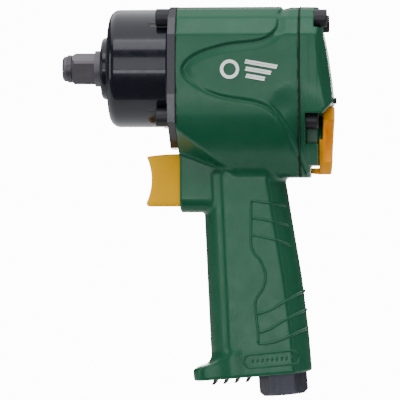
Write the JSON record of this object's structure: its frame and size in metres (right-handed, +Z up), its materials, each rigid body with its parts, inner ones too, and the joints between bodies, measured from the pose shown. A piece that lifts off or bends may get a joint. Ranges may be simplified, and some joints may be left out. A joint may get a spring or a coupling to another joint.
{
  "type": "impact wrench",
  "caption": "Compact pistol-grip pneumatic impact wrench with a square drive, swinging hammer, vane air motor, tilt throttle valve, rotary reverse lever and threaded air inlet.",
  "frame": {"origin": "on the motor axis, at the tip of the square drive", "axes": "-X along the motor axis, out of the square drive; +Z up, away from the handle; Y across the body"},
  "size_m": [0.137, 0.066, 0.194],
  "materials": {
    "green_paint": "satin",
    "black_enamel": "gloss",
    "gasket_fibre": "matte",
    "bronze": "satin",
    "black_rubber": "matte",
    "black_steel": "satin",
    "anvil_steel": "satin",
    "dark_steel": "satin",
    "blued_steel": "satin",
    "bright_steel": "satin",
    "cast_iron": "satin",
    "cage_plastic": "satin",
    "black_plastic": "satin",
    "grey_felt": "matte",
    "vane_composite": "matte",
    "yellow_plastic": "satin",
    "orange_plastic": "satin"
  },
  "bodies": {
    "housing_body": {"housing": "green_paint", "rear_cover": "green_paint", "hammer_case": "black_enamel", "front_gasket": "gasket_fibre", "rear_gasket": "gasket_fibre", "nose_collar": "black_enamel", "anvil_bushing": "bronze", "anvil_seal": "black_rubber", "front_bolts": "black_steel", "front_lock_washers": "black_steel", "rear_bolts": "black_steel", "rear_lock_washers": "black_steel", "cylinder_liner": "bright_steel", "liner_dowel_pin": "bright_steel", "front_end_plate": "cast_iron", "rear_end_plate": "cast_iron", "front_bearing_outer_race": "bright_steel", "rear_bearing_outer_race": "bright_steel", "trigger_bushing": "bronze", "trigger_seal": "black_rubber", "throttle_valve_seat": "bronze", "throttle_spring": "bright_steel", "inlet_screen": "bronze", "inlet_bushing": "blued_steel", "inlet_o_ring": "black_rubber", "exhaust_deflector": "black_plastic", "exhaust_muffler": "grey_felt", "reverse_valve_sleeve": "bronze", "detent_ball": "bright_steel", "detent_spring": "bright_steel", "oil_plug": "black_steel", "anvil_thrust_washer": "bright_steel"},
    "anvil_body": {"anvil": "anvil_steel", "socket_retaining_ring": "dark_steel", "retaining_o_ring": "black_rubber"},
    "rotor_body": {"rotor": "bright_steel", "rotor_vanes": "vane_composite", "hammer_frame_front": "dark_steel", "hammer_frame_rear": "dark_steel", "hammer_pin": "bright_steel", "hammer_stop_pin": "bright_steel", "front_bearing_inner_race": "bright_steel", "rear_bearing_inner_race": "bright_steel"},
    "hammer_body": {"hammer": "dark_steel"},
    "front_ball_set": {"front_bearing_balls": "bright_steel", "front_bearing_cage": "cage_plastic"},
    "rear_ball_set": {"rear_bearing_balls": "bright_steel", "rear_bearing_cage": "cage_plastic"},
    "trigger_body": {"trigger": "yellow_plastic", "trigger_pin": "bright_steel"},
    "throttle_valve_body": {"throttle_valve": "bright_steel"},
    "reverse_lever_body": {"reverse_lever": "orange_plastic", "reverse_valve_spool": "black_plastic", "reverse_lever_screw": "black_steel"}
  },
  "joints": [
    {"name": "anvil_spin", "type": "hinge", "parent": "housing_body", "child": "anvil_body", "pos_m": [0.01, 0, 0], "axis": [1, 0, 0], "continuous": true},
    {"name": "rotor_spin", "type": "hinge", "parent": "housing_body", "child": "rotor_body", "pos_m": [0.086, 0, 0], "axis": [1, 0, 0], "continuous": true},
    {"name": "hammer_swing", "type": "hinge", "parent": "rotor_body", "child": "hammer_body", "pos_m": [0.0448, 0, 0.019], "axis": [1, 0, 0], "range_deg": [-5.5, 5.5]},
    {"name": "front_ball_orbit", "type": "hinge", "parent": "housing_body", "child": "front_ball_set", "pos_m": [0.063, 0, 0], "axis": [1, 0, 0], "continuous": true},
    {"name": "rear_ball_orbit", "type": "hinge", "parent": "housing_body", "child": "rear_ball_set", "pos_m": [0.109, 0, 0], "axis": [1, 0, 0], "continuous": true},
    {"name": "trigger_pull", "type": "slide", "parent": "housing_body", "child": "trigger_body", "axis": [1, 0, 0], "range_m": [0, 0.0045], "stiffness_N_per_m": 900},
    {"name": "throttle_valve_tilt", "type": "hinge", "parent": "housing_body", "child": "throttle_valve_body", "pos_m": [0.09657, 0, -0.07825], "axis": [0, 1, 0], "range_deg": [0, 13], "deforming": ["throttle_spring"]},
    {"name": "reverse_lever_turn", "type": "hinge", "parent": "housing_body", "child": "reverse_lever_body", "pos_m": [0.127, 0, -0.0363], "axis": [1, 0, 0], "range_deg": [-25, 25]}
  ],
  "couplings": [
    {"joint": "front_ball_orbit", "follows": "rotor_spin", "ratio": 0.381},
    {"joint": "rear_ball_orbit", "follows": "rotor_spin", "ratio": 0.368},
    {"joint": "throttle_valve_tilt", "follows": "trigger_pull", "rad_per_m": 48.5}
  ]
}
